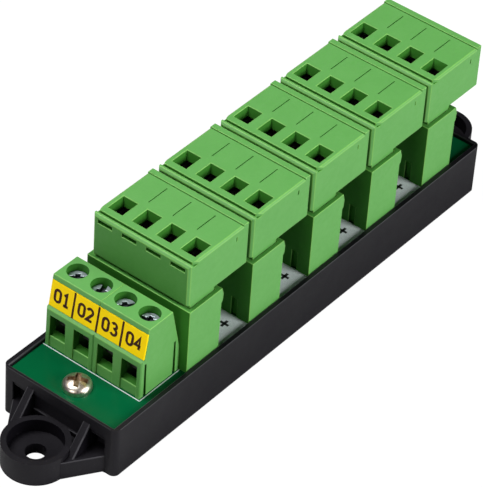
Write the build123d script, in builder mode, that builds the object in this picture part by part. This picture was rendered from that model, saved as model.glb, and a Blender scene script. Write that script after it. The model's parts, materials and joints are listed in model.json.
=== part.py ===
from build123d import *
import os

os.makedirs("parts", exist_ok=True)

# Distribution terminal block. +X runs from the input terminal to the far ear, +Z is up,
# and the origin is the centre of the holder's underside. Sizes are in millimetres.

# Pole grid and row of plugs
pitch = 5.08
pole_count = 4
plug_count = 5
row_gap = 1.2
pole_y = [pitch * ((pole_count - 1) / 2 - n) for n in range(pole_count)]

# Board holder
near_bay = 8.9
far_bay = 7.65
side_room = 0.25
rim_height = 10.1
side_wall = 0.95
end_wall = 0.6
floor_thickness = 1.6
corner_radius = 1.2
ledge_width = 1.1
end_block = 3.0
support_rib = 1.2

# Mounting ears
ear_reach = 5.4
ear_radius = 5.8
ear_height = 4.6
web_height = 3.6
web_inset = 2.2
web_reach = 0.6
ear_hole_radius = 1.8
ear_recess_radius = 4.75
ear_recess_floor = 2.1
gusset_y = 6.0
gusset_thickness = 1.5
gusset_run = 4.1
gusset_top = 8.5
pocket_top = 6.6
pocket_depth = 2.0
panel_depth = 0.35
panel_top = 7.6

# Circuit board
board_thickness = 1.6
board_drop = 0.7
board_clearance = 0.1
pin_hole_gap = 0.02
pin_tail = 1.8

# Board screws
board_screw_inset = 4.5
board_screw_boss = 2.8
board_screw_radius = 1.1
board_screw_length = 6.0
board_screw_point = 0.5
board_screw_head_radius = 2.5
board_screw_head_height = 1.9
board_screw_rim = 0.6
screw_thread_gap = 0.05
board_hole_radius = 1.5
recess_span = 3.4
recess_width = 0.9
recess_depth = 1.1
recess_turn = 30

# Clamp screws, shared by the input terminal and the plugs
screw_radius = 1.2
screw_gap = 0.05
head_radius = 1.75
head_height = 1.5
head_gap = 0.12
slot_width = 0.85
slot_depth = 0.75
cross_span = 1.9

# Input terminal
input_y = 0.75
input_depth = 9.9
input_height = 13.9
input_poles = 2
front_lean = 0.25
front_height = 7.6
facet_ledge = 0.35
facet_foot = 1.0
facet_top = 1.9
top_band = 0.95
band_lean = 0.25
top_back = 7.7
rear_bend_height = 5.3
rear_lean = 0.1
entry_width = 3.3
entry_bottom = 2.0
entry_top = 6.5
entry_depth = 1.8
entry_floor_rise = 0.3
entry_roof_drop = 0.2
panel_recess = 0.2
cage_room = 0.1
cage_end_room = 0.35
input_shoulder = 0.4
input_screw_setback = 4.95
front_dovetail_inset = 1.25
rear_dovetail_inset = 1.3
dovetail_height = 6.9
dovetail_neck = 0.45
dovetail_back = 0.95
dovetail_depth = 0.4
dovetail_gap = 0.08
tongue_lift = 1.0
seam_edge = 0.2
bore_gap = 0.1
input_slot_angles = (-54, 19, -40, -75)
slot_turn = 37

# Input metal parts
bar_thickness = 0.7
bar_bottom = 6.5
tail_width = 0.9
cage_wall = 0.65
cage_sole = 0.8
cage_nut = 1.4
cage_length = 4.0
cage_side_gap = 0.1
cage_lift = 0.2
cage_travel = 1.7
wire_gap = 3.0
tail_gap = 0.1
bar_start = 0.2

# Marker strip
strip_thickness = 0.3
strip_margin = 0.06

# Header housings
header_y = -0.2
header_gap = 0.05
header_depth = 8.2
header_margin = 0.74
header_height = 13.1
header_wall = 0.9
header_end_wall = 0.8
header_floor = 2.6
lip_reach = 0.5
lip_lean = 0.1
lip_crest_drop = 1.4
lip_heel_drop = 2.7
lip_foot_drop = 3.1
foot_slot_width = 1.2
foot_slot_height = 3.9
foot_slot_depth = 0.6

# Header pins
pin_size = 1.0
pin_height = 11.5
pin_bevel = 0.25

# Plug housings
plug_setback = 0.25
plug_depth = 15.0
plug_side_gap = 0.01
plug_height = 8.5
plug_gap = 0.7
insert_gap = 0.1
lip_strip = 0.85
lip_strip_drop = 0.25
lip_chamfer = 0.4
lip_groove = 0.28
lip_groove_depth = 0.7
corner_cut_length = 1.2
corner_cut_width = 0.5
plug_edge = 0.4
top_edge = 0.3
ridge_width = 1.25
ridge_rise = 0.15
ridge_groove = 0.15
wire_hole_start = 2.5
wire_hole_length = 3.95
wire_hole_width = 3.05
wire_funnel_depth = 2.0
wire_funnel_taper = 0.3
face_slot_width = 3.0
face_slot_height = 0.75
face_slot_drop = 1.1
face_slot_depth = 0.8
pole_groove_start = 7.9
pole_groove_end = 12.6
pole_groove_width = 0.2
pole_groove_depth = 0.15
side_tick_setback = 12.0
side_tick_width = 0.25
side_tick_height = 0.9
side_tick_drop = 1.3
side_tick_depth = 0.3
insert_slot_width = 0.9
insert_slot_height = 6.0

# Plug metal parts
plug_wall = 1.6
plug_sole_gap = 0.3
plug_travel_room = 1.5
plug_shoulder = 0.6
plug_chamber_foot = 0.4
socket_gap = 0.05
leaf_thickness = 0.4
leaf_start = 0.8
crown_gap = 0.6
socket_crown = 0.5
socket_clearance = 0.3
contact_thickness = 0.6
contact_foot_gap = 0.1
contact_head_gap = 0.4
contact_setback = 6.5
plug_cage_sole = 0.8
plug_cage_opening = 5.2
plug_cage_nut = 2.0
plug_cage_head_room = 0.6
plug_cage_lift = 0.2

# Levels and places that follow from the sizes above
plug_spacing = plug_depth + row_gap
pole_row = pole_count * pitch
header_width = pole_row + 2 * header_margin
plug_width = pole_row - 2 * plug_side_gap
header_row = (plug_count - 1) * plug_spacing + header_depth + lip_reach
base_length = near_bay + input_depth + header_gap + header_row + far_bay
base_width = header_width + 2 * (side_wall + side_room)
web_half_width = base_width / 2 - web_inset
slot_length = 2 * (head_radius + head_gap)
bar_width = 2 * screw_radius
cage_width = bar_width + 2 * (cage_side_gap + cage_wall)
chamber_width = cage_width + 2 * cage_room
pin_hole_radius = pin_size / 2 ** 0.5 + pin_hole_gap
board_top = rim_height - board_drop
board_underside = board_top - board_thickness
board_length = base_length - 2 * (end_wall + board_clearance)
board_width = base_width - 2 * (side_wall + board_clearance)
cavity_length = base_length - 2 * end_block
cavity_width = base_width - 2 * (side_wall + ledge_width)
board_screw_x = base_length / 2 - board_screw_inset
ear_x = base_length / 2 + ear_reach
module_width = input_poles * pitch
module_count = pole_count // input_poles
input_front = near_bay - base_length / 2
input_rear = input_front + input_depth
input_side = input_y + pole_row / 2
input_screw_x = input_front + input_screw_setback
facet_base = front_height + facet_ledge
facet_rise = input_height - top_band - facet_base
tail_start = input_screw_setback + cage_length / 2 + cage_end_room
tail_end = tail_start + bar_thickness
tail_x = input_front + (tail_start + tail_end) / 2
input_chamber_end = tail_end + tail_gap
input_chamber_length = input_chamber_end - entry_depth
cage_bottom = bar_bottom - wire_gap - cage_sole
cage_inner_top = bar_bottom + bar_thickness + cage_lift
input_chamber_top = cage_inner_top + cage_nut + cage_travel + cage_room
input_head_seat = board_top + input_chamber_top + input_shoulder
header_x = [input_rear + header_gap + k * plug_spacing for k in range(plug_count)]
header_top = board_top + header_height
header_side = header_y + header_width / 2
socket_floor = board_top + header_floor
socket_length = header_depth - 2 * header_wall
socket_width = header_width - 2 * header_end_wall
pin_setback = header_depth / 2
pin_tip = board_top + pin_height
plug_x = [x + plug_setback for x in header_x]
plug_foot = header_top + plug_gap
plug_top = plug_foot + plug_height
plug_side = header_y + plug_width / 2
plug_pin = pin_setback - plug_setback
chamber_bottom = plug_foot + plug_chamber_foot
chamber_top = plug_top - wire_funnel_depth
jog_bottom = chamber_bottom + contact_foot_gap
jog_top = jog_bottom + contact_thickness
plug_cage_bottom = jog_top + plug_cage_lift
plug_cage_height = chamber_top - plug_cage_head_room - plug_cage_bottom
plug_screw_z = plug_cage_bottom + plug_cage_height / 2
plug_cage_start = plug_wall + plug_sole_gap
plug_cage_run = plug_cage_sole + plug_cage_opening + plug_cage_nut
plug_chamber_end = plug_cage_start + plug_cage_run + plug_travel_room
plug_head_seat = plug_chamber_end + plug_shoulder


def save(part, label):
    part.label = label
    export_step(part, f"parts/{label}.step")


def front_plane(y):
    """Plane seen from the -Y side, with X to the right and Z up; it extrudes towards -Y."""
    return Plane.XZ.offset(-y)


# Board holder: a tray with a rim, a ledge under the board and two screw ears
with BuildPart() as base:
    with BuildSketch(Plane.XY):
        Rectangle(base_length, base_width)
    extrude(amount=rim_height)
    fillet(base.edges().filter_by(Axis.Z), radius=corner_radius)
    with BuildSketch(Plane.XY):
        for side in (-1, 1):
            root_x = side * (base_length / 2 - end_wall)
            wall_x = side * base_length / 2
            tip_x = side * (ear_x + web_reach)
            with BuildLine():
                Polyline(
                    (root_x, web_half_width),
                    (wall_x, web_half_width),
                    (tip_x, ear_radius),
                    (tip_x, -ear_radius),
                    (wall_x, -web_half_width),
                    (root_x, -web_half_width),
                    close=True,
                )
            make_face()
    extrude(amount=web_height)
    with BuildSketch(Plane.XY):
        with Locations((-ear_x, 0), (ear_x, 0)):
            Circle(ear_radius)
    extrude(amount=ear_height)
    for y in (gusset_y, -gusset_y):
        with BuildSketch(front_plane(y + gusset_thickness / 2)):
            for side in (-1, 1):
                root_x = side * (base_length / 2 - end_wall)
                wall_x = side * base_length / 2
                foot_x = side * (base_length / 2 + gusset_run)
                with BuildLine():
                    Polyline(
                        (root_x, 0),
                        (root_x, gusset_top),
                        (wall_x, gusset_top),
                        (foot_x, web_height),
                        (foot_x, 0),
                        close=True,
                    )
                make_face()
        extrude(amount=gusset_thickness)

    # Seat of the board, and the hollow under it with its screw bosses and cross ribs
    with BuildSketch(Plane.XY.offset(board_underside)):
        Rectangle(board_length + 2 * board_clearance, board_width + 2 * board_clearance)
    extrude(amount=rim_height - board_underside, mode=Mode.SUBTRACT)
    with BuildSketch(Plane.XY.offset(floor_thickness)):
        Rectangle(cavity_length, cavity_width)
    extrude(amount=board_underside - floor_thickness, mode=Mode.SUBTRACT)
    with BuildSketch(Plane.XY.offset(floor_thickness)):
        with Locations((-board_screw_x, 0), (board_screw_x, 0)):
            Circle(board_screw_boss)
        for x in header_x[:-1]:
            with Locations((x + pin_setback + plug_spacing / 2, 0)):
                Rectangle(support_rib, cavity_width)
    extrude(amount=board_underside - floor_thickness)
    with BuildSketch(Plane.XY.offset(board_underside)):
        with Locations((-board_screw_x, 0), (board_screw_x, 0)):
            Circle(board_screw_radius + screw_thread_gap)
    extrude(amount=-board_screw_length, mode=Mode.SUBTRACT)

    # Counterbored ear holes, and the shallow panel and two pockets in each end wall
    with BuildSketch(Plane.XY.offset(ear_recess_floor)):
        with Locations((-ear_x, 0), (ear_x, 0)):
            Circle(ear_recess_radius)
    extrude(amount=ear_height, mode=Mode.SUBTRACT)
    with BuildSketch(Plane.XY):
        with Locations((-ear_x, 0), (ear_x, 0)):
            Circle(ear_hole_radius)
    extrude(amount=ear_height, mode=Mode.SUBTRACT)
    pocket_start = gusset_y + gusset_thickness / 2
    pocket_width = web_half_width - pocket_start
    with BuildSketch(Plane.XY.offset(ear_height)):
        with GridLocations(base_length - panel_depth, 0, 2, 1):
            Rectangle(panel_depth, 2 * gusset_y - gusset_thickness)
        with GridLocations(base_length - panel_depth, 2 * pocket_start + pocket_width, 2, 2):
            Rectangle(panel_depth, pocket_width)
    extrude(amount=panel_top - ear_height, mode=Mode.SUBTRACT)
    with BuildSketch(Plane.XY.offset(web_height)):
        with GridLocations(base_length - pocket_depth, 2 * pocket_start + pocket_width, 2, 2):
            Rectangle(pocket_depth, pocket_width)
    extrude(amount=pocket_top - web_height, mode=Mode.SUBTRACT)
save(base.part, "base")

# Circuit board, drilled for the pins and the two board screws
with BuildPart() as board:
    with BuildSketch(Plane.XY.offset(board_underside)):
        Rectangle(board_length, board_width)
        with Locations((-board_screw_x, 0), (board_screw_x, 0)):
            Circle(board_hole_radius, mode=Mode.SUBTRACT)
        for y in pole_y:
            with Locations((tail_x, input_y + y)):
                Circle(pin_hole_radius, mode=Mode.SUBTRACT)
            with Locations(*[(x + pin_setback, header_y + y) for x in header_x]):
                Circle(pin_hole_radius, mode=Mode.SUBTRACT)
    extrude(amount=board_thickness)
save(board.part, "board")

# Pan head screws that hold the board down
with BuildPart() as board_screws:
    for x in (-board_screw_x, board_screw_x):
        head_plane = Plane(origin=(x, 0, board_top), x_dir=(1, 0, 0), z_dir=(0, -1, 0))
        with BuildSketch(head_plane):
            with BuildLine():
                Polyline(
                    (0, board_screw_head_height),
                    (0, -board_screw_length),
                    (board_screw_point, -board_screw_length),
                    (board_screw_radius, -board_screw_length + board_screw_radius),
                    (board_screw_radius, 0),
                    (board_screw_head_radius, 0),
                    (board_screw_head_radius, board_screw_rim),
                )
                EllipticalCenterArc(
                    (0, board_screw_rim),
                    x_radius=board_screw_head_radius,
                    y_radius=board_screw_head_height - board_screw_rim,
                    arc_size=90,
                )
            make_face()
        revolve(axis=Axis((x, 0, 0), (0, 0, 1)))
        with BuildSketch(Plane.XY.offset(board_top + board_screw_head_height)):
            with Locations((x, 0)):
                Rectangle(recess_span, recess_width, rotation=recess_turn)
                Rectangle(recess_width, recess_span, rotation=recess_turn)
        extrude(amount=-recess_depth, mode=Mode.SUBTRACT)
save(board_screws.part, "board_screws")


def clamp_screw(seat, length, angle):
    """Screw with a combined slot and cross, its head standing on the seat plane."""
    with BuildPart() as screw:
        with BuildSketch(seat):
            Circle(head_radius)
        extrude(amount=head_height)
        with BuildSketch(seat):
            Circle(screw_radius)
        extrude(amount=-length)
        with BuildSketch(seat.offset(head_height)):
            Rectangle(slot_length, slot_width, rotation=angle)
            Rectangle(slot_width, cross_span, rotation=angle)
        extrude(amount=-slot_depth, mode=Mode.SUBTRACT)
    return screw.part


def input_housing(module):
    """Two-pole screw terminal housing; its +Y face has the tongues, its -Y face the grooves."""
    side = input_side - module * module_width
    poles = [side - pitch * (n + 0.5) for n in range(input_poles)]
    with BuildPart() as housing:
        with BuildSketch(front_plane(side)):
            with BuildLine():
                Polyline(
                    (input_front, board_top),
                    (input_front + front_lean, board_top + front_height),
                    (input_front + facet_foot - strip_thickness, board_top + facet_base),
                    (input_front + facet_foot, board_top + facet_base),
                    (input_front + facet_top, board_top + facet_base + facet_rise),
                    (input_front + facet_top - strip_thickness, board_top + facet_base + facet_rise),
                    (input_front + facet_top - strip_thickness + band_lean, board_top + input_height),
                    (input_front + top_back, board_top + input_height),
                    (input_rear - rear_lean, board_top + rear_bend_height),
                    (input_rear, board_top),
                    close=True,
                )
            make_face()
        extrude(amount=module_width)
        front_face = housing.faces().sort_by(Axis.X)[0]
        chamfer(front_face.edges().filter_by(Axis.Y, reverse=True), length=seam_edge)
        for y in poles:
            # Wire entry: a flat recess, and in it a mouth with a slightly rising floor
            with BuildSketch(front_plane(y + entry_width / 2)):
                with BuildLine():
                    Polyline(
                        (input_front - front_lean, board_top),
                        (input_front + panel_recess, board_top),
                        (input_front + panel_recess + front_lean, board_top + entry_top),
                        (input_front - front_lean, board_top + entry_top),
                        close=True,
                    )
                make_face()
            extrude(amount=entry_width, mode=Mode.SUBTRACT)
            with BuildSketch(front_plane(y + entry_width / 2)):
                with BuildLine():
                    Polyline(
                        (input_front, board_top + entry_bottom),
                        (input_front + entry_depth, board_top + entry_bottom + entry_floor_rise),
                        (input_front + entry_depth, board_top + entry_top - entry_roof_drop),
                        (input_front, board_top + entry_top),
                        close=True,
                    )
                make_face()
            extrude(amount=entry_width, mode=Mode.SUBTRACT)
            # Chamber of the cage, open below, with the screw bore above it
            with BuildSketch(Plane.XY.offset(board_top)):
                with Locations((input_front + entry_depth + input_chamber_length / 2, y)):
                    Rectangle(input_chamber_length, chamber_width)
            extrude(amount=input_chamber_top, mode=Mode.SUBTRACT)
            with BuildSketch(Plane.XY.offset(board_top + input_chamber_top)):
                with Locations((input_screw_x, y)):
                    Circle(screw_radius + bore_gap)
            extrude(amount=input_height, mode=Mode.SUBTRACT)
            with BuildSketch(Plane.XY.offset(input_head_seat)):
                with Locations((input_screw_x, y)):
                    Circle(head_radius + head_gap)
            extrude(amount=input_height, mode=Mode.SUBTRACT)
        for x in (input_front + front_dovetail_inset, input_rear - rear_dovetail_inset):
            groove_y = side - module_width
            with BuildSketch(Plane.XY.offset(board_top)):
                with BuildLine():
                    Polyline(
                        (x - dovetail_neck / 2, groove_y),
                        (x + dovetail_neck / 2, groove_y),
                        (x + dovetail_back / 2, groove_y + dovetail_depth),
                        (x - dovetail_back / 2, groove_y + dovetail_depth),
                        close=True,
                    )
                make_face()
            extrude(amount=dovetail_height, mode=Mode.SUBTRACT)
            with BuildSketch(Plane.XY.offset(board_top + tongue_lift)):
                with BuildLine():
                    Polyline(
                        (x - dovetail_neck / 2 + dovetail_gap, side),
                        (x + dovetail_neck / 2 - dovetail_gap, side),
                        (x + dovetail_back / 2 - 2 * dovetail_gap, side + dovetail_depth - dovetail_gap),
                        (x - dovetail_back / 2 + 2 * dovetail_gap, side + dovetail_depth - dovetail_gap),
                        close=True,
                    )
                make_face()
            extrude(amount=dovetail_height - tongue_lift - dovetail_gap)
    return housing.part


def input_cage(y):
    """Rising clamp: a ring round the bar and the wire, with the screw's thread in its top."""
    with BuildPart() as cage:
        outer_height = cage_inner_top + cage_nut - cage_bottom
        inner_height = cage_inner_top - cage_bottom - cage_sole
        with BuildSketch(Plane.YZ.offset(input_screw_x - cage_length / 2)):
            with Locations((y, board_top + cage_bottom + outer_height / 2)):
                Rectangle(cage_width, outer_height)
            with Locations((y, board_top + cage_inner_top - inner_height / 2)):
                Rectangle(cage_width - 2 * cage_wall, inner_height, mode=Mode.SUBTRACT)
        extrude(amount=cage_length)
        with BuildSketch(Plane.XY.offset(board_top + cage_inner_top)):
            with Locations((input_screw_x, y)):
                Circle(screw_radius + screw_gap)
        extrude(amount=cage_nut, mode=Mode.SUBTRACT)
    return cage.part


for module in range(module_count):
    save(input_housing(module), f"input_housing_{module + 1}")

for n, y in enumerate(pole_y):
    seat_origin = (input_screw_x, input_y + y, input_head_seat)
    seat = Plane(origin=seat_origin, x_dir=(1, 0, 0), z_dir=(0, 0, 1))
    input_screw_length = input_head_seat - board_top - bar_bottom - bar_thickness - screw_gap
    save(clamp_screw(seat, input_screw_length, input_slot_angles[n]), f"input_screw_{n + 1}")
    save(input_cage(input_y + y), f"input_cage_{n + 1}")

# Current bars of the input terminal, each bent down at the back into a solder tail
with BuildPart() as input_contacts:
    for y in pole_y:
        with BuildSketch(front_plane(input_y + y + bar_width / 2)):
            with BuildLine():
                Polyline(
                    (input_front + entry_depth + bar_start, board_top + bar_bottom),
                    (input_front + tail_start, board_top + bar_bottom),
                    (input_front + tail_start, board_top),
                    (input_front + tail_end, board_top),
                    (input_front + tail_end, board_top + bar_bottom + bar_thickness),
                    (input_front + entry_depth + bar_start, board_top + bar_bottom + bar_thickness),
                    close=True,
                )
            make_face()
        extrude(amount=bar_width)
        with BuildSketch(Plane.XY.offset(board_top)):
            with Locations((tail_x, input_y + y)):
                Rectangle(bar_thickness, tail_width)
        extrude(amount=-board_thickness - pin_tail)
save(input_contacts.part, "input_contacts")

# Marker strip, laid in the sloping facet of both input housings
with BuildPart() as marker_strip:
    with BuildSketch(front_plane(input_side - strip_margin)):
        facet_run = facet_top - facet_foot
        margin_run = facet_run * strip_margin / facet_rise
        with BuildLine():
            Polyline(
                (input_front + facet_foot + margin_run, board_top + facet_base + strip_margin),
                (input_front + facet_top - margin_run, board_top + facet_base + facet_rise - strip_margin),
                (
                    input_front + facet_top - margin_run - strip_thickness,
                    board_top + facet_base + facet_rise - strip_margin,
                ),
                (
                    input_front + facet_foot + margin_run - strip_thickness,
                    board_top + facet_base + strip_margin,
                ),
                close=True,
            )
        make_face()
    extrude(amount=pole_row - 2 * strip_margin)
save(marker_strip.part, "marker_strip")


def header_housing(front):
    """Open socket that stands on the board; a catch runs along the top of its far side."""
    with BuildPart() as housing:
        with BuildSketch(front_plane(header_side)):
            with BuildLine():
                Polyline(
                    (front, board_top),
                    (front, header_top),
                    (front + header_depth + lip_lean, header_top),
                    (front + header_depth + lip_reach, header_top - lip_crest_drop),
                    (front + header_depth + lip_reach - lip_lean, header_top - lip_heel_drop),
                    (front + header_depth, header_top - lip_foot_drop),
                    (front + header_depth, board_top),
                    close=True,
                )
            make_face()
        extrude(amount=header_width)
        with BuildSketch(Plane.XY.offset(socket_floor)):
            with Locations((front + header_depth / 2, header_y)):
                Rectangle(socket_length, socket_width)
        extrude(amount=header_height, mode=Mode.SUBTRACT)
        with BuildSketch(Plane.XY.offset(board_top)):
            with Locations(*[(front + foot_slot_depth / 2, header_y + y) for y in pole_y]):
                Rectangle(foot_slot_depth, foot_slot_width)
        extrude(amount=foot_slot_height, mode=Mode.SUBTRACT)
        with BuildSketch(Plane.XY.offset(board_top)):
            with Locations(*[(front + pin_setback, header_y + y) for y in pole_y]):
                Rectangle(pin_size, pin_size)
        extrude(amount=header_floor, mode=Mode.SUBTRACT)
    return housing.part


def header_pins(front):
    """Four square pins, from the solder side of the board up into the plug."""
    with BuildPart() as pins:
        with BuildSketch(Plane.XY.offset(board_underside - pin_tail)):
            with Locations(*[(front + pin_setback, header_y + y) for y in pole_y]):
                Rectangle(pin_size, pin_size)
        extrude(amount=pin_tip - board_underside + pin_tail)
        chamfer(pins.faces().group_by(Axis.Z)[-1].edges(), length=pin_bevel)
    return pins.part


def plug_housing(front):
    """Pluggable terminal: wires enter from above, screws face +X, the insert points down."""
    groove_end = front + lip_strip + lip_groove
    ridge_start = front + plug_depth - ridge_width
    lip_top = plug_top - lip_strip_drop
    with BuildPart() as housing:
        with BuildSketch(front_plane(plug_side)):
            with BuildLine():
                Polyline(
                    (front, plug_foot),
                    (front, lip_top - lip_chamfer),
                    (front + lip_chamfer, lip_top),
                    (front + lip_strip, lip_top),
                    (front + lip_strip, plug_top - lip_groove_depth),
                    (groove_end, plug_top - lip_groove_depth),
                    (groove_end, plug_top),
                    (ridge_start - ridge_groove, plug_top),
                    (ridge_start - ridge_groove, plug_top - ridge_groove),
                    (ridge_start, plug_top - ridge_groove),
                    (ridge_start, plug_top + ridge_rise),
                    (front + plug_depth, plug_top + ridge_rise),
                    (front + plug_depth, plug_foot),
                    close=True,
                )
            make_face()
        extrude(amount=plug_width)
        for side in (-1, 1):
            edge_y = header_y + side * plug_width / 2
            # Bevelled upright edge, cut corner of the top, and bevel along the top
            with BuildSketch(Plane.XY.offset(plug_foot)):
                with BuildLine():
                    Polyline(
                        (front, edge_y),
                        (front + plug_edge, edge_y),
                        (front, edge_y - side * plug_edge),
                        close=True,
                    )
                make_face()
            extrude(amount=plug_height, mode=Mode.SUBTRACT)
            with BuildSketch(Plane.XY.offset(plug_top - lip_groove_depth)):
                with BuildLine():
                    Polyline(
                        (groove_end, edge_y),
                        (groove_end + corner_cut_length, edge_y),
                        (groove_end, edge_y - side * corner_cut_width),
                        close=True,
                    )
                make_face()
            extrude(amount=lip_groove_depth, mode=Mode.SUBTRACT)
            with BuildSketch(Plane.YZ.offset(groove_end)):
                with BuildLine():
                    Polyline(
                        (edge_y, plug_top),
                        (edge_y, plug_top - top_edge),
                        (edge_y - side * top_edge, plug_top),
                        close=True,
                    )
                make_face()
            extrude(amount=ridge_start - groove_end, mode=Mode.SUBTRACT)
            with BuildSketch(Plane.XY.offset(plug_top - side_tick_drop - side_tick_height)):
                with Locations((front + side_tick_setback, edge_y)):
                    Rectangle(side_tick_width, 2 * side_tick_depth)
            extrude(amount=side_tick_height, mode=Mode.SUBTRACT)

        # Insert that fills the header, slit between the poles
        with BuildSketch(Plane.XY.offset(socket_floor)):
            with Locations((front + plug_pin, header_y)):
                Rectangle(socket_length - 2 * insert_gap, socket_width - 2 * insert_gap)
        extrude(amount=plug_foot - socket_floor)
        with BuildSketch(Plane.XY.offset(socket_floor)):
            with Locations((front + plug_pin, header_y)):
                with GridLocations(0, pitch, 1, pole_count - 1):
                    Rectangle(socket_length, insert_slot_width)
        extrude(amount=insert_slot_height, mode=Mode.SUBTRACT)
        with BuildSketch(Plane.XY.offset(plug_top - pole_groove_depth)):
            with Locations((front + (pole_groove_start + pole_groove_end) / 2, header_y)):
                with GridLocations(0, pitch, 1, pole_count - 1):
                    Rectangle(pole_groove_end - pole_groove_start, pole_groove_width)
        extrude(amount=pole_groove_depth, mode=Mode.SUBTRACT)
        slot_top = plug_top - face_slot_drop
        with BuildSketch(Plane.XY.offset(slot_top - face_slot_height)):
            with Locations((front + face_slot_depth / 2, header_y)):
                with GridLocations(0, pitch, 1, pole_count):
                    Rectangle(face_slot_depth, face_slot_width)
        extrude(amount=face_slot_height, mode=Mode.SUBTRACT)

        for pole in pole_y:
            y = header_y + pole
            # Tapering wire entry, chamber of the cage, channel of the socket, screw bore
            hole_x = front + wire_hole_start + wire_hole_length / 2
            with BuildSketch(Plane.XY.offset(plug_top)):
                with Locations((hole_x, y)):
                    Rectangle(wire_hole_length, wire_hole_width)
            with BuildSketch(Plane.XY.offset(chamber_top)):
                with Locations((hole_x, y)):
                    Rectangle(wire_hole_length - 2 * wire_funnel_taper, wire_hole_width - 2 * wire_funnel_taper)
            loft(mode=Mode.SUBTRACT)
            with BuildSketch(Plane.XY.offset(chamber_bottom)):
                with Locations((front + (plug_wall + plug_chamber_end) / 2, y)):
                    Rectangle(plug_chamber_end - plug_wall, chamber_width)
            extrude(amount=chamber_top - chamber_bottom, mode=Mode.SUBTRACT)
            with BuildSketch(Plane.XY.offset(socket_floor)):
                with Locations((front + plug_pin, y)):
                    Rectangle(
                        pin_size + 2 * (socket_gap + leaf_thickness + socket_clearance),
                        bar_width + 2 * socket_clearance,
                    )
            extrude(amount=chamber_bottom - socket_floor, mode=Mode.SUBTRACT)
            with BuildSketch(Plane.YZ.offset(front + plug_chamber_end)):
                with Locations((y, plug_screw_z)):
                    Circle(screw_radius + bore_gap)
            extrude(amount=plug_depth - plug_chamber_end, mode=Mode.SUBTRACT)
            with BuildSketch(Plane.YZ.offset(front + plug_head_seat)):
                with Locations((y, plug_screw_z)):
                    Circle(head_radius + head_gap)
            extrude(amount=plug_depth - plug_head_seat, mode=Mode.SUBTRACT)
    return housing.part


def plug_cages(front):
    """Four rising clamps, each a ring round the bar and the wire with the thread in its far side."""
    start = front + plug_cage_start
    with BuildPart() as cages:
        with BuildSketch(Plane.XY.offset(plug_cage_bottom)):
            for pole in pole_y:
                with Locations((start + plug_cage_run / 2, header_y + pole)):
                    Rectangle(plug_cage_run, cage_width)
                with Locations((start + plug_cage_sole + plug_cage_opening / 2, header_y + pole)):
                    Rectangle(plug_cage_opening, cage_width - 2 * cage_wall, mode=Mode.SUBTRACT)
        extrude(amount=plug_cage_height)
        with BuildSketch(Plane.YZ.offset(start + plug_cage_sole + plug_cage_opening)):
            with Locations(*[(header_y + pole, plug_screw_z) for pole in pole_y]):
                Circle(screw_radius + screw_gap)
        extrude(amount=plug_cage_nut, mode=Mode.SUBTRACT)
    return cages.part


def plug_contacts(front):
    """Four strips, each bent into a spring socket round the pin and a bar beside the wire."""
    pin_x = front + plug_pin
    inner = pin_size / 2 + socket_gap
    outer = inner + leaf_thickness
    leaf_foot = socket_floor + leaf_start
    crown = pin_tip + crown_gap
    bar_x = front + contact_setback
    bar_head = chamber_top - contact_head_gap
    with BuildPart() as contacts:
        for pole in pole_y:
            with BuildSketch(front_plane(header_y + pole + bar_width / 2)):
                with BuildLine():
                    Polyline(
                        (pin_x - outer, leaf_foot),
                        (pin_x - outer, crown + socket_crown),
                        (pin_x + inner, crown + socket_crown),
                        (pin_x + inner, jog_top),
                        (bar_x, jog_top),
                        (bar_x, bar_head),
                        (bar_x + contact_thickness, bar_head),
                        (bar_x + contact_thickness, jog_bottom),
                        (pin_x + outer, jog_bottom),
                        (pin_x + outer, leaf_foot),
                        (pin_x + inner, leaf_foot),
                        (pin_x + inner, crown),
                        (pin_x - inner, crown),
                        (pin_x - inner, leaf_foot),
                        close=True,
                    )
                make_face()
            extrude(amount=bar_width)
    return contacts.part


plug_screw_length = plug_head_seat - contact_setback - contact_thickness - screw_gap
for k in range(plug_count):
    name = f"plug_{k + 1}"
    save(header_housing(header_x[k]), f"header_{k + 1}")
    save(header_pins(header_x[k]), f"header_pins_{k + 1}")
    save(plug_housing(plug_x[k]), name)
    save(plug_cages(plug_x[k]), f"{name}_cages")
    save(plug_contacts(plug_x[k]), f"{name}_contacts")
    for n, y in enumerate(pole_y):
        seat_origin = (plug_x[k] + plug_head_seat, header_y + y, plug_screw_z)
        seat = Plane(origin=seat_origin, x_dir=(0, 1, 0), z_dir=(1, 0, 0))
        angle = slot_turn * (pole_count * k + n)
        save(clamp_screw(seat, plug_screw_length, angle), f"{name}_screw_{n + 1}")
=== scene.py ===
import json
import math

import bmesh
import bpy
from mathutils import Matrix, Vector
from mathutils.bvhtree import BVHTree


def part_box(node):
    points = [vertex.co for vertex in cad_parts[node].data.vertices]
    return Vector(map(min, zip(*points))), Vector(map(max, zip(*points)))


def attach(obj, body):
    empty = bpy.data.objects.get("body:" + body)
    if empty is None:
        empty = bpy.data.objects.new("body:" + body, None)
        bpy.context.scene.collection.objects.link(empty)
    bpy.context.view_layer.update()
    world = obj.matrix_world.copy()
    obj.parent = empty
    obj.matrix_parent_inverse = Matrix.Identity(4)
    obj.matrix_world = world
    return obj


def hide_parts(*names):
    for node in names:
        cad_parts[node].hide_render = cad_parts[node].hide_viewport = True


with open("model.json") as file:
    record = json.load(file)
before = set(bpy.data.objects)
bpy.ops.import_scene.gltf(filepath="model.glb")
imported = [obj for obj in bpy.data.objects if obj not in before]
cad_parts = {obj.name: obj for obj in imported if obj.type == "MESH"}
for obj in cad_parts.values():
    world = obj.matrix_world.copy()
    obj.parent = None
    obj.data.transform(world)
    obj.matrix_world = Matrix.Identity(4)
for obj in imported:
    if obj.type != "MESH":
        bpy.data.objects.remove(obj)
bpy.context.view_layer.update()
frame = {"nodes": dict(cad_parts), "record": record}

mm = 0.001
nodes = frame["nodes"]
print("frame loaded:", len(nodes), "nodes")


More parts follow.
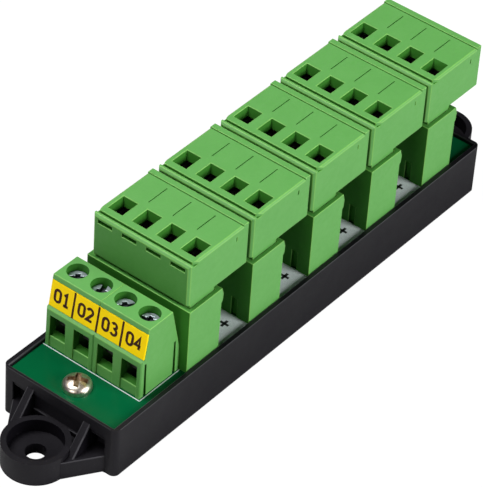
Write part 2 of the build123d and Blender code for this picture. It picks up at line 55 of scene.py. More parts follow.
def addObject(name, data):
    added = bpy.data.objects.new(name, data)
    bpy.context.scene.collection.objects.link(added)
    return added


# small helpers for node materials

mixFactor, mixFirst, mixSecond, mixResult = 0, 6, 7, 2  # the colour sockets of a mix node


def newMaterial(name):
    material = bpy.data.materials.new(name)
    material.use_nodes = True
    place = material.node_tree.nodes.new("ShaderNodeTexCoord")
    return material, material.node_tree, place.outputs["Object"]


def setInput(tree, socket, value):
    # the value is a link from another node or a plain value
    if isinstance(value, bpy.types.NodeSocket):
        tree.links.new(value, socket)
    else:
        socket.default_value = value


def fillShader(tree, values):
    shader = tree.nodes["Principled BSDF"]
    for name, value in values.items():
        setInput(tree, shader.inputs[name], value)


def addNoise(tree, place, size, detail, roughness=0.55):
    # size is the width of one patch, in metres
    noise = tree.nodes.new("ShaderNodeTexNoise")
    noise.inputs["Scale"].default_value = 1 / size
    noise.inputs["Detail"].default_value = detail
    noise.inputs["Roughness"].default_value = roughness
    tree.links.new(place, noise.inputs["Vector"])
    return noise.outputs["Fac"]


def addRange(tree, value, low, high, start=0.3, end=0.7):
    # most of a noise lies between the usual start and end
    spread = tree.nodes.new("ShaderNodeMapRange")
    for name, number in (("From Min", start), ("From Max", end), ("To Min", low), ("To Max", high)):
        spread.inputs[name].default_value = number
    tree.links.new(value, spread.inputs["Value"])
    return spread.outputs["Result"]


def addMix(tree, factor, first, second):
    mix = tree.nodes.new("ShaderNodeMix")
    mix.data_type = "RGBA"
    tree.links.new(factor, mix.inputs[mixFactor])
    for index, colour in ((mixFirst, first), (mixSecond, second)):
        linked = isinstance(colour, bpy.types.NodeSocket)
        setInput(tree, mix.inputs[index], colour if linked else (*colour, 1))
    return mix.outputs[mixResult]


def addMark(tree, markName, plain, marked):
    # one value on plain faces, another on marked ones
    # edge marks rounded edges, which carry a painted highlight; the shade mark carries painted shade on the
    # walls of small hollows and on shaded rows and rims
    mark = tree.nodes.new("ShaderNodeAttribute")
    mark.attribute_name = markName
    return addRange(tree, mark.outputs["Fac"], plain, marked, 0, 1)


def addBump(tree, height, strength, distance, before=None):
    bump = tree.nodes.new("ShaderNodeBump")
    bump.inputs["Strength"].default_value = strength
    bump.inputs["Distance"].default_value = distance
    tree.links.new(height, bump.inputs["Height"])
    if before is not None:
        tree.links.new(before, bump.inputs["Normal"])
    return bump.outputs["Normal"]


# finishes
# A noise is given as its size and detail, with or without roughness, and a bump as its strength and height.

greenPlastic = {
    "colour": (0.075, 0.284, 0.049),
    "paleColour": (0.093, 0.312, 0.062),
    "clouds": (4.5 * mm, 2),
    "grain": (0.16 * mm, 2, 0.6),
    "grainBump": (0.5, 0.006 * mm),
    "flow": (0.9 * mm, 3),
    "flowBump": (0.35, 0.01 * mm),
    "roughness": (0.54, 0.68),
    # a lighter colour on rounded edges: painted highlight
    "paintedHighlightColour": (0.17, 0.42, 0.07),
    "paintedHighlightShare": 0.6,
    # a darker green and less sheen on walls of small hollows and on shaded faces: painted shade
    "paintedShadeColour": (0.018, 0.125, 0.006),
    "paintedShadeShare": 0.8,
    "sheen": 0.62,
    "paintedShadeSheen": 0.1,
    "refraction": 1.56,
    "depthShare": 0.06,
    "depthTint": (0.5, 1.0, 0.4),
    "depth": 0.5 * mm,
}


def makeGreenPlastic():
    look = greenPlastic
    material, tree, place = newMaterial("mouldedGreen")
    clouds = addNoise(tree, place, *look["clouds"])
    grain = addNoise(tree, place, *look["grain"])
    flow = addNoise(tree, place, *look["flow"])
    body = addMix(tree, clouds, look["colour"], look["paleColour"])
    # painted shade: darker green where the shade mark is
    body = addMix(tree, addMark(tree, "painted_shade", 0, look["paintedShadeShare"]), body, look["paintedShadeColour"])
    # painted highlight: lighter on rounded edges
    body = addMix(tree, addMark(tree, "edge", 0, look["paintedHighlightShare"]), body, look["paintedHighlightColour"])
    wave = addBump(tree, flow, *look["flowBump"])
    fillShader(tree, {
        "Base Color": body,
        "Roughness": addRange(tree, flow, *look["roughness"]),
        "Normal": addBump(tree, grain, *look["grainBump"], wave),
        "IOR": look["refraction"],
        # painted shade: less sheen where the shade mark is
        "Specular IOR Level": addMark(tree, "painted_shade", look["sheen"], look["paintedShadeSheen"]),
        "Subsurface Weight": look["depthShare"],
        "Subsurface Radius": look["depthTint"],
        "Subsurface Scale": look["depth"],
    })
    return material


holderPlastic = {
    "colour": (0.0045, 0.004, 0.0055),
    "dustColour": (0.016, 0.015, 0.018),
    "dust": (0.0, 0.9, 0.7, 0.78),
    "specks": (0.35 * mm, 1),
    "clouds": (7 * mm, 4),
    "grain": (0.12 * mm, 3, 0.65),
    "grainBump": (0.6, 0.008 * mm),
    "roughness": (0.4, 0.52),
    # a lighter colour on rounded edges: painted highlight
    "paintedHighlightColour": (0.05, 0.049, 0.054),
    "paintedHighlightShare": 0.7,
    "sheen": 0.38,
    # less sheen on the walls of small hollows: painted shade
    "paintedShadeSheen": 0.04,
    "sheenTint": (0.95, 0.92, 1, 1),
    "refraction": 1.42,
}


def makeHolderPlastic():
    look = holderPlastic
    material, tree, place = newMaterial("mouldedBlack")
    grain = addNoise(tree, place, *look["grain"])
    clouds = addNoise(tree, place, *look["clouds"])
    dust = addRange(tree, addNoise(tree, place, *look["specks"]), *look["dust"])
    body = addMix(tree, dust, look["colour"], look["dustColour"])
    # painted highlight: lighter on rounded edges
    body = addMix(tree, addMark(tree, "edge", 0, look["paintedHighlightShare"]), body, look["paintedHighlightColour"])
    fillShader(tree, {
        "Base Color": body,
        "Roughness": addRange(tree, clouds, *look["roughness"]),
        "Normal": addBump(tree, grain, *look["grainBump"]),
        "IOR": look["refraction"],
        # painted shade: less sheen where the shade mark is
        "Specular IOR Level": addMark(tree, "painted_shade", look["sheen"], look["paintedShadeSheen"]),
        "Specular Tint": look["sheenTint"],
    })
    return material


boardMask = {
    "colour": (0.0007, 0.072, 0.022),
    "paleColour": (0.001, 0.090, 0.031),
    "clouds": (6 * mm, 3),
    "weaveSize": 0.55 * mm,
    "weaveBump": (0.06, 0.004 * mm),
    "softDetail": 2,
    "softBump": (0.3, 0.006 * mm),
    "roughness": (0.16, 0.26),
    "refraction": 1.5,
    "sheen": 0.08,
}


def makeBoardMask():
    look = boardMask
    material, tree, place = newMaterial("solderMask")
    clouds = addNoise(tree, place, *look["clouds"])
    weave = tree.nodes.new("ShaderNodeTexChecker")
    weave.inputs["Scale"].default_value = 1 / look["weaveSize"]
    tree.links.new(place, weave.inputs["Vector"])
    soft = addNoise(tree, place, look["weaveSize"], look["softDetail"])
    cloth = addBump(tree, weave.outputs["Fac"], *look["weaveBump"])
    fillShader(tree, {
        "Base Color": addMix(tree, clouds, look["colour"], look["paleColour"]),
        "Roughness": addRange(tree, soft, *look["roughness"]),
        "Normal": addBump(tree, soft, *look["softBump"], cloth),
        "IOR": look["refraction"],
        "Specular IOR Level": look["sheen"],
    })
    return material


markerPlastic = {
    "colour": (0.95, 0.65, 0.001),
    "paleColour": (0.98, 0.71, 0.002),
    "clouds": (2.5 * mm, 3),
    "grain": (0.14 * mm, 2),
    "grainBump": (0.4, 0.006 * mm),
    "roughness": (0.42, 0.55),
    "refraction": 1.45,
    "sheen": 0.12,
}


def makeMarkerPlastic():
    look = markerPlastic
    material, tree, place = newMaterial("markerYellow")
    clouds = addNoise(tree, place, *look["clouds"])
    grain = addNoise(tree, place, *look["grain"])
    fillShader(tree, {
        "Base Color": addMix(tree, clouds, look["colour"], look["paleColour"]),
        "Roughness": addRange(tree, clouds, *look["roughness"]),
        "Normal": addBump(tree, grain, *look["grainBump"]),
        "IOR": look["refraction"],
        "Specular IOR Level": look["sheen"],
    })
    return material


prints = {
    "whitePrint": {"colour": (0.60, 0.66, 0.66), "wornColour": (0.44, 0.51, 0.50)},
    "darkPrint": {"colour": (0.012, 0.016, 0.014), "wornColour": (0.03, 0.035, 0.03)},
    "markerInk": {"colour": (0.030, 0.007, 0.003), "wornColour": (0.06, 0.018, 0.008)},
}
printWear = {
    "speckle": (0.18 * mm, 3),
    "worn": (0, 1, 0.35, 0.75),
    "bump": (0.3, 0.006 * mm),
    "roughness": (0.5, 0.65),
    "sheen": 0.2,
}


def makePrint(name):
    look = prints[name]
    material, tree, place = newMaterial(name)
    speckle = addNoise(tree, place, *printWear["speckle"])
    worn = addRange(tree, speckle, *printWear["worn"])
    fillShader(tree, {
        "Base Color": addMix(tree, worn, look["colour"], look["wornColour"]),
        "Roughness": addRange(tree, speckle, *printWear["roughness"]),
        "Normal": addBump(tree, speckle, *printWear["bump"]),
        "Specular IOR Level": printWear["sheen"],
    })
    return material


metals = {
    "nickelPlate": {
        "colour": (0.92, 0.87, 0.80), "tarnish": (0.72, 0.58, 0.44),
        "roughness": (0.24, 0.42), "scratchSize": 0.2 * mm,
    },
    "zincPlate": {
        "colour": (0.68, 0.75, 0.82), "tarnish": (0.42, 0.48, 0.53),
        "roughness": (0.36, 0.55), "scratchSize": 0.12 * mm,
    },
    "cageSteel": {
        "colour": (0.24, 0.24, 0.23), "tarnish": (0.15, 0.15, 0.145),
        "roughness": (0.4, 0.6), "scratchSize": 0.2 * mm,
    },
    "tinPlate": {
        "colour": (0.34, 0.33, 0.30), "tarnish": (0.24, 0.23, 0.21),
        "roughness": (0.35, 0.5), "scratchSize": 0.2 * mm,
    },
    "driveShade": {
        "colour": (0.15, 0.165, 0.18), "tarnish": (0.07, 0.076, 0.082),
        "roughness": (0.5, 0.7), "scratchSize": 0.2 * mm,
    },
    "nickelShade": {
        "colour": (0.66, 0.50, 0.35), "tarnish": (0.22, 0.15, 0.09),
        "roughness": (0.3, 0.5), "scratchSize": 0.2 * mm,
    },
}
metalWear = {
    "clouds": (0.8 * mm, 3),
    "stretch": (1.0, 0.12, 1.0),
    "scratches": (4, 0.7),
    "bump": (0.5, 0.01 * mm),
}


def makeMetal(name):
    # the scratches are a noise stretched along Y
    look = metals[name]
    material, tree, place = newMaterial(name)
    stretch = tree.nodes.new("ShaderNodeMapping")
    stretch.inputs["Scale"].default_value = metalWear["stretch"]
    tree.links.new(place, stretch.inputs["Vector"])
    scratches = addNoise(tree, stretch.outputs["Vector"], look["scratchSize"], *metalWear["scratches"])
    clouds = addRange(tree, addNoise(tree, place, *metalWear["clouds"]), 0, 1)
    fillShader(tree, {
        "Base Color": addMix(tree, clouds, look["colour"], look["tarnish"]),
        "Roughness": addRange(tree, scratches, *look["roughness"]),
        "Normal": addBump(tree, scratches, *metalWear["bump"]),
        "Metallic": 1.0,
    })
    return material


inkOf = {name: makePrint(name) for name in prints}
metalOf = {name: makeMetal(name) for name in metals}
finishes = {
    "housing_green": makeGreenPlastic(),
    "holder_black": makeHolderPlastic(),
    "board_green": makeBoardMask(),
    "marker_yellow": makeMarkerPlastic(),
    "screw_nickel": metalOf["nickelPlate"],
    "screw_zinc": metalOf["zincPlate"],
    "cage_zinc": metalOf["cageSteel"],
    "contact_tin": metalOf["tinPlate"],
}
print("finishes made for", len(finishes), "slots")

bodies = frame["record"]["behaviour"]["bodies"]
bodyOf = {nodeName: bodyName for bodyName, bodyNodes in bodies.items() for nodeName in bodyNodes}
slotOf = {entry["node"]: entry["material_slot"] for entry in frame["record"]["subparts"]}
for nodeName, nodeObject in nodes.items():
    nodeObject.data.materials.clear()
    nodeObject.data.materials.append(finishes[slotOf[nodeName]])


# moulded edges
# Each visible part gets a copy whose long outer edges are rounded as a mould leaves them.
# Its rounded edges carry a painted highlight; rowShade and rimShade are the shares of painted shade on
# faces that look towards -X and upwards.

edgeRounding = {
    "base": {"radius": 0.22 * mm, "shortest": 1.6 * mm, "hollow": 10 * mm},
    "board_screws": {"radius": 0.07 * mm, "shortest": 0.0, "drive": "nickelShade", "depth": 1.1 * mm},
    "input_housing": {"radius": 0.13 * mm, "shortest": 0.75 * mm},
    "input_screw": {"radius": 0.09 * mm, "shortest": 0.0, "drive": "driveShade", "depth": 0.75 * mm},
    "header": {"radius": 0.13 * mm, "shortest": 0.75 * mm, "rowShade": 1.0, "rimShade": 0.65},
    "plug_1": {"radius": 0.11 * mm, "shortest": 0.7 * mm, "rowShade": 0.35},
    "plug": {"radius": 0.11 * mm, "shortest": 0.7 * mm, "rowShade": 0.65},
    "plug_screw": {"radius": 0.09 * mm, "shortest": 0.0, "drive": "driveShade", "depth": 0.75 * mm},
    "marker_strip": {"radius": 0.06 * mm, "shortest": 0.2 * mm},
}
moulding = {
    "weld": 0.002 * mm,
    "flatAngle": math.radians(1),
    "cornerAngle": math.radians(38),  # sharper edges are rounded
    "creaseAngle": math.radians(34),  # sharper edges stay sharp in the shading
    "slimSides": 5,
    "slimShare": 2.2,  # of the radius: beside narrower faces nothing is rounded
    "segments": 3,
    "hollow": 4.7 * mm,  # the widest hollow that counts as small
    "wallArea": 30 * mm * mm,
    "rayLift": 0.02 * mm,
    "facing": 0.9,
    "weight": 80,
}
screwDrive = {
    "uprightHeight": 4 * mm,  # a lying screw is less high
    "pairSpan": 20 * mm,
    "rim": 0.25 * mm,
    "slack": 0.05 * mm,
    "reach": 1.6 * mm,
    "floorFacing": 0.9,
    "wallFacing": 0.2,
}


def isSlim(face, width):
    shortest = min(edge.calc_length() for edge in face.edges)
    return len(face.edges) <= moulding["slimSides"] and shortest < width


def isBand(face, width):
    return face.calc_area() < width * max(edge.calc_length() for edge in face.edges)


def isCorner(edge, look):
    if len(edge.link_faces) != 2 or not edge.is_convex or edge.calc_length() <= look["shortest"]:
        return False
    if any(isSlim(face, moulding["slimShare"] * look["radius"]) for face in edge.link_faces):
        return False
    return edge.calc_face_angle(0.0) > moulding["cornerAngle"]


def markFaces(shape, banded, look):
    # sets how much each face is a rounded edge, which gets a painted highlight, and how much painted shade
    # it gets: on walls of small hollows, and by rowShade and rimShade on faces towards -X and upwards
    paintedHighlightMark = shape.faces.layers.float.new("edge")
    shape.faces.ensure_lookup_table()
    for index in banded:
        if isBand(shape.faces[index], look["radius"]):
            shape.faces[index][paintedHighlightMark] = 1.0
    paintedShadeMark = shape.faces.layers.float.new("painted_shade")
    tree = BVHTree.FromBMesh(shape)
    span = look.get("hollow", moulding["hollow"])
    for face in shape.faces:
        start = face.calc_center_median() + face.normal * moulding["rayLift"]
        if face.calc_area() < moulding["wallArea"] and tree.ray_cast(start, face.normal, span)[0]:
            face[paintedShadeMark] = 1.0
        # painted shade on faces towards -X, which the next rows shade, and on upward rims
        elif face.normal.x < -moulding["facing"]:
            face[paintedShadeMark] = look.get("rowShade", 0.0)
        elif face.normal.z > moulding["facing"]:
            face[paintedShadeMark] = look.get("rimShade", 0.0)


def shadeDrive(shape, depth):
    # the walls and the floor of a screw's drive, found by their depth under the top of its head
    lows = [min(v.co[a] for v in shape.verts) for a in range(3)]
    highs = [max(v.co[a] for v in shape.verts) for a in range(3)]
    axis = 2 if highs[2] - lows[2] > screwDrive["uprightHeight"] else 0
    flat = [a for a in range(3) if a != axis]
    paired = highs[0] - lows[0] > screwDrive["pairSpan"]
    headRadius = (highs[1] - lows[1]) / 2
    for face in shape.faces:
        centre = face.calc_center_median()
        middles = {a: (lows[a] + highs[a]) / 2 for a in flat}
        if paired:
            middles[0] = highs[0] - headRadius if centre.x > 0 else lows[0] + headRadius
        out = math.hypot(*(centre[a] - middles[a] for a in flat))
        under = highs[axis] - centre[axis]
        deep = screwDrive["rim"] < under < depth + screwDrive["slack"]
        turn = face.normal[axis]
        inward = turn > screwDrive["floorFacing"] or abs(turn) < screwDrive["wallFacing"]
        if deep and out < screwDrive["reach"] and inward:
            face.material_index = 1


def roundEdges(nodeName, look):
    mesh = nodes[nodeName].data.copy()
    piece = addObject(nodeName + "_moulded", mesh)
    shape = bmesh.new()
    shape.from_mesh(mesh)
    bmesh.ops.remove_doubles(shape, verts=shape.verts, dist=moulding["weld"])
    bmesh.ops.dissolve_limit(
        shape, angle_limit=moulding["flatAngle"], verts=shape.verts, edges=shape.edges, delimit={"NORMAL"}
    )
    corners = [edge for edge in shape.edges if isCorner(edge, look)]
    band = bmesh.ops.bevel(
        shape, geom=corners, offset=look["radius"], segments=moulding["segments"], profile=0.5,
        affect="EDGES", clamp_overlap=False,
    )
    shape.faces.index_update()
    markFaces(shape, [face.index for face in band["faces"]], look)
    if "drive" in look:
        mesh.materials.append(metalOf[look["drive"]])
        shadeDrive(shape, look["depth"])
    for face in shape.faces:
        face.smooth = True
    for edge in shape.edges:
        edge.smooth = len(edge.link_faces) == 2 and edge.calc_face_angle(0.0) < moulding["creaseAngle"]
    shape.to_mesh(mesh)
    shape.free()
    settle = piece.modifiers.new("settle", "WEIGHTED_NORMAL")
    settle.keep_sharp = True
    settle.weight = moulding["weight"]
    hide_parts(nodeName)
    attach(piece, bodyOf[nodeName])
    return piece


def lookFor(nodeName):
    # a node's own entry, or else that of its kind: its name without numbers
    kind = "_".join(word for word in nodeName.split("_") if not word.isdigit())
    return edgeRounding.get(nodeName) or edgeRounding.get(kind)


rounded = [roundEdges(name, lookFor(name)) for name in sorted(nodes) if lookFor(name)]
print("edges rounded on", len(rounded), "pieces")


# printed bars, by a node tree

def printedBarsTree():
    # a row of flat bars of one Size and Ink: Count of them, the first at Start, each a Step from the last
    tree = bpy.data.node_groups.new("printedBars", "GeometryNodeTree")
    inputs = {"Count": "Int", "Step": "Vector", "Start": "Vector", "Size": "Vector", "Ink": "Material"}
    for name, kind in inputs.items():
        tree.interface.new_socket(name, in_out="INPUT", socket_type="NodeSocket" + kind)
    tree.interface.new_socket("Geometry", in_out="OUTPUT", socket_type="NodeSocketGeometry")
    add = tree.nodes.new
    given = add("NodeGroupInput")
    result = add("NodeGroupOutput")
    line = add("GeometryNodeMeshLine")
    bar = add("GeometryNodeMeshCube")
    repeat = add("GeometryNodeInstanceOnPoints")
    realise = add("GeometryNodeRealizeInstances")
    paint = add("GeometryNodeSetMaterial")
    links = (
        (given, "Count", line, "Count"),
        (given, "Step", line, "Offset"),
        (given, "Start", line, "Start Location"),
        (given, "Size", bar, "Size"),
        (line, "Mesh", repeat, "Points"),
        (bar, "Mesh", repeat, "Instance"),
        (repeat, "Instances", realise, "Geometry"),
        (realise, "Geometry", paint, "Geometry"),
        (given, "Ink", paint, "Material"),
        (paint, "Geometry", result, "Geometry"),
    )
    for giver, output, taker, name in links:
        tree.links.new(giver.outputs[output], taker.inputs[name])
    return tree


barsTree = printedBarsTree()


def growTree(name, tree, values):
    # runs a node tree with the given inputs and keeps its result as a plain mesh
    seed = addObject(name + "_seed", bpy.data.meshes.new(name + "_seed"))
    step = seed.modifiers.new("grow", "NODES")
    step.node_group = tree
    for item in tree.interface.items_tree:
        if item.in_out == "INPUT" and item.name in values:
            step[item.identifier] = values[item.name]
    grown = seed.evaluated_get(bpy.context.evaluated_depsgraph_get())
    mesh = bpy.data.meshes.new_from_object(grown)
    mesh.name = name
    bpy.data.objects.remove(seed)
    return mesh


def printBar(name, centre, size, ink, count=1, step=(0, 0, 0)):
    values = {"Count": count, "Step": step, "Start": tuple(centre), "Size": tuple(size), "Ink": inkOf[ink]}
    return growTree(name, barsTree, values)


def joinMeshes(name, meshes, body):
    # one piece from plain meshes that are each of one ink
    piece = addObject(name, bpy.data.meshes.new(name))
    shape = bmesh.new()
    for mesh in meshes:
        first = len(shape.faces)
        material = next(m for m in mesh.materials if m)
        if material.name not in [m.name for m in piece.data.materials]:
            piece.data.materials.append(material)
        index = [m.name for m in piece.data.materials].index(material.name)
        shape.from_mesh(mesh)
        shape.faces.ensure_lookup_table()
        for face in shape.faces[first:]:
            face.material_index = index
    bmesh.ops.recalc_face_normals(shape, faces=shape.faces)
    shape.to_mesh(piece.data)
    shape.free()
    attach(piece, body)
    return piece


# board print

boardPrint = {
    "thickness": 0.02 * mm,
    "lineWidth": 0.17 * mm,
    "outlineGap": 0.22 * mm,
    "outlineEnd": 0.044 * mm,
    "fieldStart": 0.35 * mm,
    "fieldInset": 0.15 * mm,
    "fieldMargin": 0.12 * mm,
    "markSpan": 1.75 * mm,
    "markWidth": 0.5 * mm,
    "markX": 13.65 * mm,
    "markY": -7.97 * mm,
    "markLift": 0.012 * mm,
}


def makeBoardPrint():
    look = boardPrint
    line = look["lineWidth"]
    thickness = look["thickness"]
    boardLow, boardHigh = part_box("board")
    inputLow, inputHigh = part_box("input_housing_1")
    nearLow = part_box("input_housing_2")[0]
    headerBoxes = [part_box(f"header_{k + 1}") for k in range(5)]
    middleZ = boardHigh.z + thickness / 2

    # an outline round the input terminal
    left = inputLow.x - look["outlineGap"]
    right = inputHigh.x + look["outlineEnd"]
    front = nearLow.y - look["outlineGap"]
    back = min(inputHigh.y, boardHigh.y - line)
    nearCentre = (left, (front + back) / 2, middleZ)
    frontCentre = ((left + right) / 2, front, middleZ)
    parts = [
        printBar("outlineNear", nearCentre, (line, back - front + line, thickness), "whitePrint"),
        printBar("outlineFront", frontCentre, (right - left, line, thickness), "whitePrint"),
    ]

    # a white field with a plus mark between each two headers
    gaps = len(headerBoxes) - 1
    step = (headerBoxes[1][0].x - headerBoxes[0][0].x, 0, 0)
    start = headerBoxes[0][1].x - look["fieldStart"]
    end = headerBoxes[1][0].x + look["fieldInset"]
    fieldCentre = ((start + end) / 2, (boardHigh.y + boardLow.y) / 2, middleZ)
    fieldSize = (end - start, boardHigh.y - boardLow.y - 2 * look["fieldMargin"], thickness)
    parts.append(printBar("fields", fieldCentre, fieldSize, "whitePrint", gaps, step))
    markCentre = (headerBoxes[0][0].x + look["markX"], look["markY"], middleZ + look["markLift"])
    for size in ((look["markSpan"], look["markWidth"]), (look["markWidth"], look["markSpan"])):
        parts.append(printBar("marks", markCentre, (*size, thickness), "darkPrint", gaps, step))
    return joinMeshes("board_print", parts, "holder")


makeBoardPrint()
print("board print made")


# marker numbers
# Straight strokes are given as shares of half a digit's width and height, bows as angles.

markerNumbers = {
    "words": ("01", "02", "03", "04"),
    "polePitch": 5.08 * mm,
    "digitWidth": 1.14 * mm,
    "digitHeight": 2.22 * mm,
    "digitStep": 1.74 * mm,
    "stroke": 0.5 * mm,
    "ink": 0.02 * mm,
    "inkLift": 0.008 * mm,
    "dividerWidth": 0.4 * mm,
    "dividerShare": 0.985,
    "mitre": 0.45,
    "sameFacing": 0.99,
    "oneStrokes": (((-0.75, 0.62), (0.1, 1), (0.1, -1)), ((-0.8, -1), (1, -1))),
    "twoBow": (165, -35),
    "threeBow": (150, -75),
    "threeUpper": 0.46,
    "threeLower": 0.54,
    "fourStrokes": (((0.45, -1), (0.45, 1), (-1, -0.35), (1, -0.35)),),
}


def arcPoints(centreY, radius, startAngle, endAngle, steps=16):
    angles = [math.radians(startAngle + (endAngle - startAngle) * n / steps) for n in range(steps + 1)]
    return [Vector((radius * math.cos(a), centreY + radius * math.sin(a))) for a in angles]


def digitLines(digit):
    # centre lines of one plain digit round its middle: points, and whether the line closes
    look = markerNumbers
    side = look["digitWidth"] / 2
    top = look["digitHeight"] / 2
    bowMiddle = top - side
    if digit == "0":
        return [(arcPoints(bowMiddle, side, 0, 180) + arcPoints(-bowMiddle, side, 180, 360), True)]
    if digit == "2":
        foot = [Vector((-side, -top)), Vector((side, -top))]
        return [(arcPoints(bowMiddle, side, *look["twoBow"]) + foot, False)]
    if digit == "3":
        upper = look["threeUpper"] * top
        lower = look["threeLower"] * top
        start, waist = look["threeBow"]
        bow = arcPoints(top - upper, upper, start, waist) + arcPoints(lower - top, lower, -waist, -start)
        return [(bow, False)]
    strokes = look["oneStrokes"] if digit == "1" else look["fourStrokes"]
    return [([Vector((x * side, y * top)) for x, y in stroke], False) for stroke in strokes]


def strokeMesh(name, lines):
    # a flat band of even width along each line, with mitred corners
    look = markerNumbers
    thickness = look["ink"]
    shape = bmesh.new()
    for points, closed in lines:
        count = len(points)
        rungs = []
        for n, point in enumerate(points):
            before = points[n - 1] if n or closed else point - (points[1] - point)
            after = points[(n + 1) % count] if n < count - 1 or closed else point + (point - points[n - 1])
            into, out = (point - before).normalized(), (after - point).normalized()
            across = Vector((-(into.y + out.y), into.x + out.x)).normalized()
            reach = look["stroke"] / 2 / max(across.dot(Vector((-out.y, out.x))), look["mitre"])
            ends = (point + across * reach, point - across * reach)
            rungs.append([shape.verts.new((*end, thickness / 2)) for end in ends])
        pairs = list(zip(rungs, rungs[1:])) + ([(rungs[-1], rungs[0])] if closed else [])
        for (leftA, rightA), (leftB, rightB) in pairs:
            shape.faces.new((leftA, rightA, rightB, leftB))
    grown = bmesh.ops.extrude_face_region(shape, geom=shape.faces[:])
    newVerts = [item for item in grown["geom"] if isinstance(item, bmesh.types.BMVert)]
    bmesh.ops.translate(shape, vec=(0, 0, -thickness), verts=newVerts)
    bmesh.ops.recalc_face_normals(shape, faces=shape.faces)
    mesh = bpy.data.meshes.new(name)
    shape.to_mesh(mesh)
    shape.free()
    mesh.materials.append(inkOf["markerInk"])
    return mesh


def makeMarkerNumbers():
    look = markerNumbers
    low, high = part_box("marker_strip")
    mesh = nodes["marker_strip"].data
    # the numbers stand on the face of the strip that looks most towards -X
    normal = min(mesh.polygons, key=lambda face: face.normal.x).normal.copy()
    across = Vector((0, -1, 0))
    upward = normal.cross(across)
    facing = [face for face in mesh.polygons if face.normal.dot(normal) > look["sameFacing"]]
    corners = [mesh.vertices[i].co for face in facing for i in face.vertices]
    spans = [[corner[axis] for corner in corners] for axis in range(3)]
    middle = Vector([(min(span) + max(span)) / 2 for span in spans])
    turn = Matrix((across, upward, normal)).transposed().to_4x4()
    lift = normal * look["inkLift"]
    words = look["words"]
    pitch = look["polePitch"]
    parts = []
    for n, word in enumerate(words):
        wordMiddle = (n - (len(words) - 1) / 2) * pitch
        for column, digit in enumerate(word):
            along = wordMiddle + (column - (len(word) - 1) / 2) * look["digitStep"]
            glyph = strokeMesh("digit" + digit, digitLines(digit))
            glyph.transform(Matrix.Translation(middle + across * along + lift) @ turn)
            parts.append(glyph)
    dividers = len(words) - 1
    start = (-(dividers - 1) / 2 * pitch, 0, 0)
    stripHeight = math.hypot(high.x - low.x, high.z - low.z)
    size = (look["dividerWidth"], stripHeight * look["dividerShare"], look["ink"])
    bars = printBar("dividers", start, size, "markerInk", dividers, (pitch, 0, 0))
    bars.transform(Matrix.Translation(middle + lift) @ turn)
    parts.append(bars)
    return joinMeshes("marker_numbers", parts, "holder")


makeMarkerNumbers()
print("marker numbers made")


# room, light and camera

room = {
    "half": 3.0,
    "paper": (0.4, 0.4, 0.4),
    "white": 1.09,
    "whiteShare": 0.9,
}


def makeFloor():
    # the camera sees the paper nearly white, the part gets only its grey
    half = room["half"]
    shape = bmesh.new()
    corners = ((-half, -half, 0), (half, -half, 0), (half, half, 0), (-half, half, 0))
    shape.faces.new([shape.verts.new(corner) for corner in corners])
    mesh = bpy.data.meshes.new("floor")
    shape.to_mesh(mesh)
    shape.free()
    floor = addObject("floor", mesh)
    material = bpy.data.materials.new("floorPaper")
    material.use_nodes = True
    tree = material.node_tree
    tree.nodes.clear()
    paper = tree.nodes.new("ShaderNodeBsdfDiffuse")
    paper.inputs["Color"].default_value = (*room["paper"], 1)
    glow = tree.nodes.new("ShaderNodeEmission")
    glow.inputs["Color"].default_value = (1, 1, 1, 1)
    glow.inputs["Strength"].default_value = room["white"]
    path = tree.nodes.new("ShaderNodeLightPath")
    share = tree.nodes.new("ShaderNodeMath")
    share.operation = "MULTIPLY"
    share.inputs[1].default_value = room["whiteShare"]
    mix = tree.nodes.new("ShaderNodeMixShader")
    out = tree.nodes.new("ShaderNodeOutputMaterial")
    tree.links.new(path.outputs["Is Camera Ray"], share.inputs[0])
    tree.links.new(share.outputs[0], mix.inputs[0])
    tree.links.new(paper.outputs[0], mix.inputs[1])
    tree.links.new(glow.outputs[0], mix.inputs[2])
    tree.links.new(mix.outputs[0], out.inputs[0])
    mesh.materials.append(material)


lamps = {
    "key": {"from": (0.14, -0.80, 0.36), "size": 0.32, "power": 9.4},
    "top": {"from": (-0.22, 0.30, 0.86), "size": 0.42, "power": 9.0},
    "fill": {"from": (-0.85, -0.08, 0.34), "size": 0.4, "power": 1.9},
}
lampTarget = (0, 0, 15 * mm)
worldLight = {"ambient": 0.03, "seen": 1.0}


def makeLamps():
    for name, look in lamps.items():
        lamp = bpy.data.lights.new(name, "AREA")
        lamp.shape = "SQUARE"
        lamp.size = look["size"]
        lamp.energy = look["power"]
        stand = addObject(name, lamp)
        stand.location = look["from"]
        aim = Vector(lampTarget) - Vector(look["from"])
        stand.rotation_euler = aim.to_track_quat("-Z", "Y").to_euler()


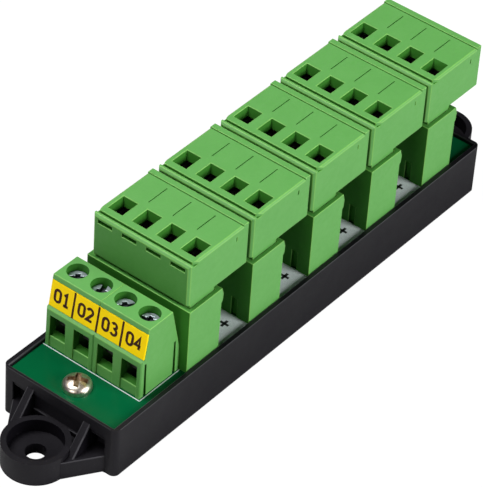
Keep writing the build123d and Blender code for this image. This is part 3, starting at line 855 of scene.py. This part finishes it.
def makeWorld():
    # white where the camera sees it, but only a faint light on the part
    world = bpy.data.worlds.new("softRoom")
    bpy.context.scene.world = world
    world.use_nodes = True
    tree = world.node_tree
    tree.nodes.clear()
    path = tree.nodes.new("ShaderNodeLightPath")
    level = tree.nodes.new("ShaderNodeMapRange")
    level.inputs["To Min"].default_value = worldLight["ambient"]
    level.inputs["To Max"].default_value = worldLight["seen"]
    sky = tree.nodes.new("ShaderNodeBackground")
    sky.inputs["Color"].default_value = (1, 1, 1, 1)
    out = tree.nodes.new("ShaderNodeOutputWorld")
    tree.links.new(path.outputs["Is Camera Ray"], level.inputs["Value"])
    tree.links.new(level.outputs["Result"], sky.inputs["Strength"])
    tree.links.new(sky.outputs[0], out.inputs[0])


camera = {
    "target": (0, 0, 15 * mm),
    "azimuth": -53.9565,
    "elevation": 40.2489,
    "roll": -4.2058,
    "distance": 534.994 * mm,
    "slideRight": -1.9787 * mm,
    "slideUp": -3.0676 * mm,
    "lens": 233.205,
    "sensor": 36,
    "nearest": 0.05,
    "farthest": 20,
}


def makeCamera():
    look = camera
    azimuth, elevation, roll = (math.radians(look[key]) for key in ("azimuth", "elevation", "roll"))
    level = math.cos(elevation)
    back = Vector((math.sin(azimuth) * level, -math.cos(azimuth) * level, math.sin(elevation)))
    right = Vector((math.cos(azimuth), math.sin(azimuth), 0))
    up = back.cross(right)
    eye = Vector(look["target"]) + right * look["slideRight"] + up * look["slideUp"]
    eye += back * look["distance"]
    turnedRight = right * math.cos(roll) - up * math.sin(roll)
    turnedUp = right * math.sin(roll) + up * math.cos(roll)
    data = bpy.data.cameras.new("camera")
    data.lens = look["lens"]
    data.sensor_width = look["sensor"]
    data.clip_start = look["nearest"]
    data.clip_end = look["farthest"]
    stand = addObject("camera", data)
    turn = Matrix((turnedRight, turnedUp, back)).transposed().to_4x4()
    stand.matrix_world = Matrix.Translation(eye) @ turn
    bpy.context.scene.camera = stand


makeFloor()
makeLamps()
makeWorld()
makeCamera()
bpy.context.scene.view_settings.view_transform = "Standard"
print("room, light and camera made")
